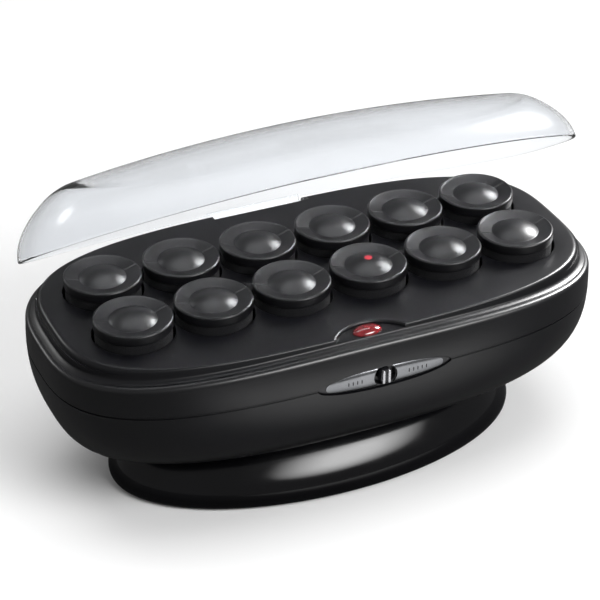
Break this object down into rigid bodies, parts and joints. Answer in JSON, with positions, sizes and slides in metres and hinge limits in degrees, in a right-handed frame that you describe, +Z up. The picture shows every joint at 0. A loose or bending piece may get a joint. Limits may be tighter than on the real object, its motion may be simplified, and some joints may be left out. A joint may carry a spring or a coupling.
{
  "type": "heated hair roller set",
  "caption": "Heated hair roller set: flocked rollers standing on heated posts in an oval pedestal case with a clear hinged dome lid, slide switch and indicator lens.",
  "frame": {"origin": "centre of the case's outline, on the plane that the rubber feet stand on", "axes": "+X along the case, +Z up, -Y to the front, where the switch is"},
  "size_m": [0.2882, 0.1553, 0.1843],
  "materials": {
    "case_plastic": "satin",
    "deck_plastic": "satin",
    "cap_plastic": "satin",
    "flocking": "matte",
    "pedestal_gloss": "gloss",
    "clear_plastic": "gloss",
    "black_trim": "satin",
    "knob_plastic": "satin",
    "bright_trim": "satin",
    "red_lens": "gloss",
    "ready_red": "satin",
    "lamp_glass": "gloss",
    "aluminium": "satin",
    "element_steel": "satin",
    "steel": "satin",
    "ceramic": "matte",
    "insulation": "matte",
    "nylon": "satin",
    "rubber": "matte"
  },
  "bodies": {
    "base": {"upper_housing": "case_plastic", "lower_housing": "case_plastic", "housing_screws": "steel", "roller_deck": "deck_plastic", "deck_screws": "steel", "indicator_lens": "red_lens", "indicator_lamp": "lamp_glass", "switch_surround": "black_trim", "switch_bezel": "bright_trim", "switch_body": "black_trim", "heater_plate": "aluminium", "heating_posts": "aluminium", "heating_element": "element_steel", "element_clamps": "steel", "thermostat": "steel", "thermal_fuse": "steel", "heater_standoffs": "ceramic", "heater_screws": "steel", "insulation_pad": "insulation", "pedestal": "pedestal_gloss", "base_plate": "case_plastic", "rubber_feet": "rubber", "base_screws": "steel", "pedestal_screws": "steel", "cord_gland": "black_trim", "terminal_block": "nylon", "hinge_pin": "steel"},
    "lid": {"clear_lid": "clear_plastic"},
    "switch_slider": {"switch_knob": "knob_plastic"},
    "roller_front_1": {"roller_front_1_cap": "cap_plastic", "roller_front_1_barrel": "flocking"},
    "roller_front_2": {"roller_front_2_cap": "cap_plastic", "roller_front_2_barrel": "flocking"},
    "roller_front_3": {"roller_front_3_cap": "cap_plastic", "roller_front_3_barrel": "flocking"},
    "roller_front_4": {"roller_front_4_cap": "cap_plastic", "roller_front_4_barrel": "flocking", "heat_ready_dot": "ready_red"},
    "roller_front_5": {"roller_front_5_cap": "cap_plastic", "roller_front_5_barrel": "flocking"},
    "roller_front_6": {"roller_front_6_cap": "cap_plastic", "roller_front_6_barrel": "flocking"},
    "roller_back_1": {"roller_back_1_cap": "cap_plastic", "roller_back_1_barrel": "flocking"},
    "roller_back_2": {"roller_back_2_cap": "cap_plastic", "roller_back_2_barrel": "flocking"},
    "roller_back_3": {"roller_back_3_cap": "cap_plastic", "roller_back_3_barrel": "flocking"},
    "roller_back_4": {"roller_back_4_cap": "cap_plastic", "roller_back_4_barrel": "flocking"},
    "roller_back_5": {"roller_back_5_cap": "cap_plastic", "roller_back_5_barrel": "flocking"},
    "roller_back_6": {"roller_back_6_cap": "cap_plastic", "roller_back_6_barrel": "flocking"}
  },
  "joints": [
    {"name": "lid_hinge", "type": "hinge", "parent": "base", "child": "lid", "pos_m": [0, 0.0708, 0.0912], "axis": [-1, 0, 0], "range_deg": [-33.7, 52]},
    {"name": "switch_slide", "type": "slide", "parent": "base", "child": "switch_slider", "axis": [1, 0, 0], "range_m": [-0.002, 0.002]},
    {"name": "roller_front_1_lift", "type": "slide", "parent": "base", "child": "roller_front_1", "axis": [0, 0, 1], "range_m": [0, 0.03]},
    {"name": "roller_front_2_lift", "type": "slide", "parent": "base", "child": "roller_front_2", "axis": [0, 0, 1], "range_m": [0, 0.03]},
    {"name": "roller_front_3_lift", "type": "slide", "parent": "base", "child": "roller_front_3", "axis": [0, 0, 1], "range_m": [0, 0.03]},
    {"name": "roller_front_4_lift", "type": "slide", "parent": "base", "child": "roller_front_4", "axis": [0, 0, 1], "range_m": [0, 0.03]},
    {"name": "roller_front_5_lift", "type": "slide", "parent": "base", "child": "roller_front_5", "axis": [0, 0, 1], "range_m": [0, 0.03]},
    {"name": "roller_front_6_lift", "type": "slide", "parent": "base", "child": "roller_front_6", "axis": [0, 0, 1], "range_m": [0, 0.03]},
    {"name": "roller_back_1_lift", "type": "slide", "parent": "base", "child": "roller_back_1", "axis": [0, 0, 1], "range_m": [0, 0.03]},
    {"name": "roller_back_2_lift", "type": "slide", "parent": "base", "child": "roller_back_2", "axis": [0, 0, 1], "range_m": [0, 0.03]},
    {"name": "roller_back_3_lift", "type": "slide", "parent": "base", "child": "roller_back_3", "axis": [0, 0, 1], "range_m": [0, 0.03]},
    {"name": "roller_back_4_lift", "type": "slide", "parent": "base", "child": "roller_back_4", "axis": [0, 0, 1], "range_m": [0, 0.03]},
    {"name": "roller_back_5_lift", "type": "slide", "parent": "base", "child": "roller_back_5", "axis": [0, 0, 1], "range_m": [0, 0.03]},
    {"name": "roller_back_6_lift", "type": "slide", "parent": "base", "child": "roller_back_6", "axis": [0, 0, 1], "range_m": [0, 0.03]}
  ]
}
